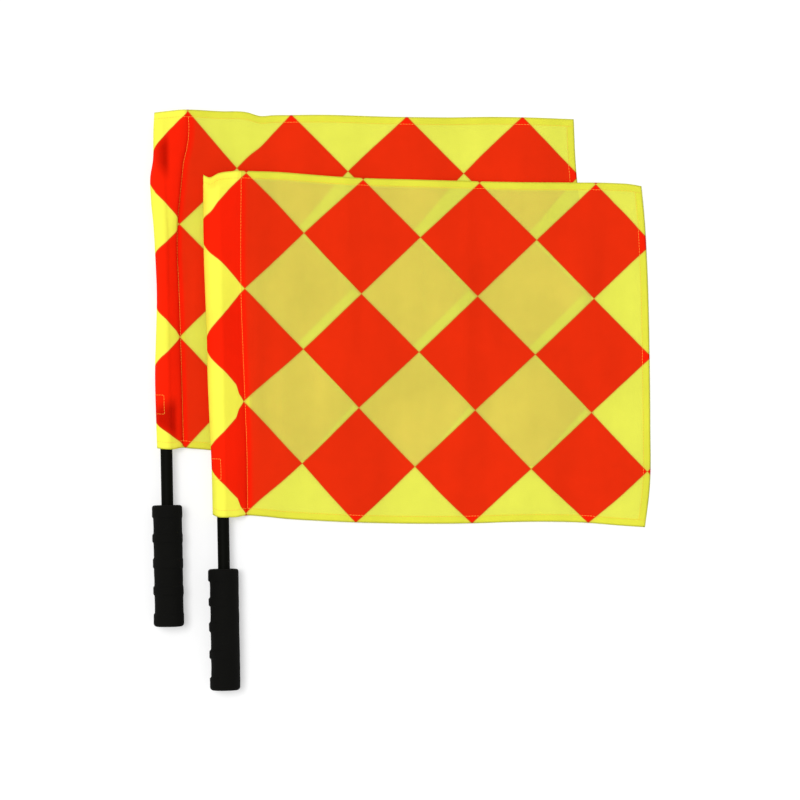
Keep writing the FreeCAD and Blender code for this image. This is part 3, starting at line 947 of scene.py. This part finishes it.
# Caps and plugs
# The cap in the tube's tip, inside the sleeve, and the flanged plug in its foot
# are injection-moulded black plastic with a fine spark-eroded grain.

cap_black, cap_flow = (0.010, 0.010, 0.010, 1), (0.016, 0.016, 0.015, 1)


def moulded_plastic():
    """Moulded black plastic: a fine grain over faint flow marks."""
    material, tree = new_material("moulded_plastic")
    place = node(tree, "ShaderNodeTexCoord", out=3)
    grain = node(tree, "ShaderNodeTexNoise", (), {"Vector": place, "Scale": 2600, "Detail": 3})
    flow = node(tree, "ShaderNodeTexNoise", (), {"Vector": place, "Scale": 90, "Detail": 2})
    colour = mix(flow, cap_black, cap_flow)
    rough = 0.5 + grain * 0.25
    bump = node(tree, "ShaderNodeBump", (), {"Strength": 0.4, "Distance": 0.00005, "Height": grain})
    inputs = {"Base Color": colour, "Roughness": rough, "Specular IOR Level": 0.35, "Normal": bump}
    finish_material(tree, node(tree, "ShaderNodeBsdfPrincipled", (), inputs))
    return material


dress([side + "_" + name for side in flags for name in ("tip_cap", "foot_plug")], moulded_plastic())

# Grip tabs
# Inside each sleeve's mouth a patch of brushed black elastic tape is sewn round
# the fold. It rubs on the tube, so the cloth doesn't creep off the pole.

tab_thickness = 0.45
tab_gap = 0.05
tab_margin = 1.4
tab_rows, tab_columns = 24, 60
tape_black, tape_nap = (0.004, 0.004, 0.004, 1), (0.014, 0.014, 0.015, 1)


def elastic_tape():
    """Brushed black elastic: ribs across the tape under a short nap."""
    material, tree = new_material("elastic_tape")
    place = node(tree, "ShaderNodeTexCoord", out=3)
    bands = {"Vector": place, "Scale": 320, "Distortion": 0.4}
    ribs = node(tree, "ShaderNodeTexWave", {"bands_direction": "Y"}, bands)
    nap = node(tree, "ShaderNodeTexNoise", (), {"Vector": place, "Scale": 900, "Detail": 3})
    colour = mix(nap, tape_black, tape_nap)
    height = ribs + nap * 0.6
    bump = node(tree, "ShaderNodeBump", (), {"Strength": 0.7, "Distance": 0.00012, "Height": height})
    inputs = {"Base Color": colour, "Roughness": 0.92, "Specular IOR Level": 0.1, "Normal": bump}
    finish_material(tree, node(tree, "ShaderNodeBsdfPrincipled", (), inputs))
    return material


def tab_line(points):
    """The tape's middle line in one section of the sleeve: round the fold, just inside the cloth."""
    fold = int(np.argmin(points[:, 0]))
    length = length_along(points)
    upper, lower = slice(fold + 1), slice(fold, fold + section_points)
    start = np.interp(-(tab_out + tab_margin), -points[upper, 0], length[upper])
    end = np.interp(tab_out + tab_margin, points[lower, 0], length[lower])
    line = along(points, np.linspace(start, end, tab_columns))
    way = np.gradient(line, axis=0)
    inward = np.stack([-way[:, 1], way[:, 0]], axis=1) / np.linalg.norm(way, axis=1)[:, None]
    return line + inward * (cloth_thickness + tab_thickness + tab_gap) / 2


tab_material = elastic_tape()
for side in flags:
    axis_across, foot, axis_height = pole_place(side)
    up = np.linspace(tab_low - tab_margin, tab_high + tab_margin, tab_rows)
    lines = np.stack([tab_line(sleeve_section(flags[side], place, axis_height)) for place in up])
    x = axis_across + lines[..., 0] * math.cos(slant)
    y = foot + up[:, None] / math.cos(slant) - lines[..., 0] * math.sin(slant)
    tab_grid = np.stack([x, y, lines[..., 1] + axis_height], axis=2) * mm
    chart = np.stack(np.meshgrid(np.linspace(0, 1, tab_columns), np.linspace(0, 1, tab_rows)), axis=2)
    mesh = cloth_mesh(side + "_tab", tab_grid, chart, np.zeros(tab_grid.shape[:2]))
    piece = make_piece(mesh, tab_material, tab_thickness)
    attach(piece, side + "_flag")
    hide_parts(side + "_grip_tab")

# Sheets as cut
# The size that each cloth was cut to is worked out, with its sleeve and hems laid out flat.

for side in flags:
    flat = grids[side][1]
    cut = (float(flat.max() - flat.min()) * mm, (cloth_height + hem_width * 2) * mm)

# Floor, light and camera
# A plain white table top seen from straight above, lit softly from the upper
# left, so that the flags and grips leave a narrow soft shadow on it.

world_level = 0.62
sun_strength = 1.75
sun_spread = math.radians(24)
sun_direction = (0.24, -0.14, -0.96)
floor_glow = 1.6
floor_share = 0.25
floor_white = (0.8, 0.8, 0.8, 1)
floor_reach = 3.0
floor_drop = 0.0002


def seen_directly(tree):
    """1 for rays from the camera, from a gloss or through glass, and 0 for those that light the object."""
    path = tree.nodes.new("ShaderNodeLightPath")
    names = ("Is Camera Ray", "Is Glossy Ray", "Is Transmission Ray")
    camera, gloss, glass = (Wire(tree, path.outputs[name]) for name in names)
    return camera.of("MAXIMUM", gloss).of("MAXIMUM", glass)


corners = [(x * floor_reach, y * floor_reach, -floor_drop) for x, y in ((-1, -1), (1, -1), (1, 1), (-1, 1))]
floor_mesh = bpy.data.meshes.new("table_top")
floor_mesh.from_pydata(corners, [], [(0, 1, 2, 3)])
material, tree = new_material("white_table")
paint = node(tree, "ShaderNodeBsdfDiffuse", (), {"Color": floor_white})
glow = node(tree, "ShaderNodeEmission", (), {"Color": (1, 1, 1, 1), "Strength": floor_glow})
share = seen_directly(tree) * floor_share
finish_material(tree, node(tree, "ShaderNodeMixShader", (), {0: share, 1: paint, 2: glow}))
make_piece(floor_mesh, material)

world = bpy.data.worlds.new("studio")
world.use_nodes = True
bpy.context.scene.world = world
tree = world.node_tree
tree.nodes.clear()
strength = world_level + seen_directly(tree) * (1 - world_level)
background = node(tree, "ShaderNodeBackground", (), {"Color": (1, 1, 1, 1), "Strength": strength})
output = tree.nodes.new("ShaderNodeOutputWorld")
tree.links.new(background.socket, output.inputs["Surface"])

sun = bpy.data.lights.new("sun", "SUN")
sun.energy = sun_strength
sun.angle = sun_spread
sun_object = bpy.data.objects.new("sun", sun)
bpy.context.scene.collection.objects.link(sun_object)
sun_object.rotation_euler = Vector(sun_direction).to_track_quat("-Z", "Y").to_euler()

camera_distance = 5.0
view_width = 0.8
film_width = 36
pole_lean = math.radians(1.0)
view_middle = (178.4, 286.3)
camera_data = bpy.data.cameras.new("camera")
camera_data.type = "PERSP"
camera_data.sensor_width = film_width
camera_data.lens = film_width * camera_distance / view_width
camera = bpy.data.objects.new("camera", camera_data)
bpy.context.scene.collection.objects.link(camera)
pole_across, pole_foot = pole_place("front")[:2]
middle = Vector((pole_across + view_middle[0], pole_foot + view_middle[1], 0)) * mm
above = Matrix.Translation(middle + Vector((0, 0, camera_distance)))
camera.matrix_world = above @ Matrix.Rotation(-pole_lean, 4, "Z")
bpy.context.scene.camera = camera
bpy.context.scene.view_settings.view_transform = "Standard"
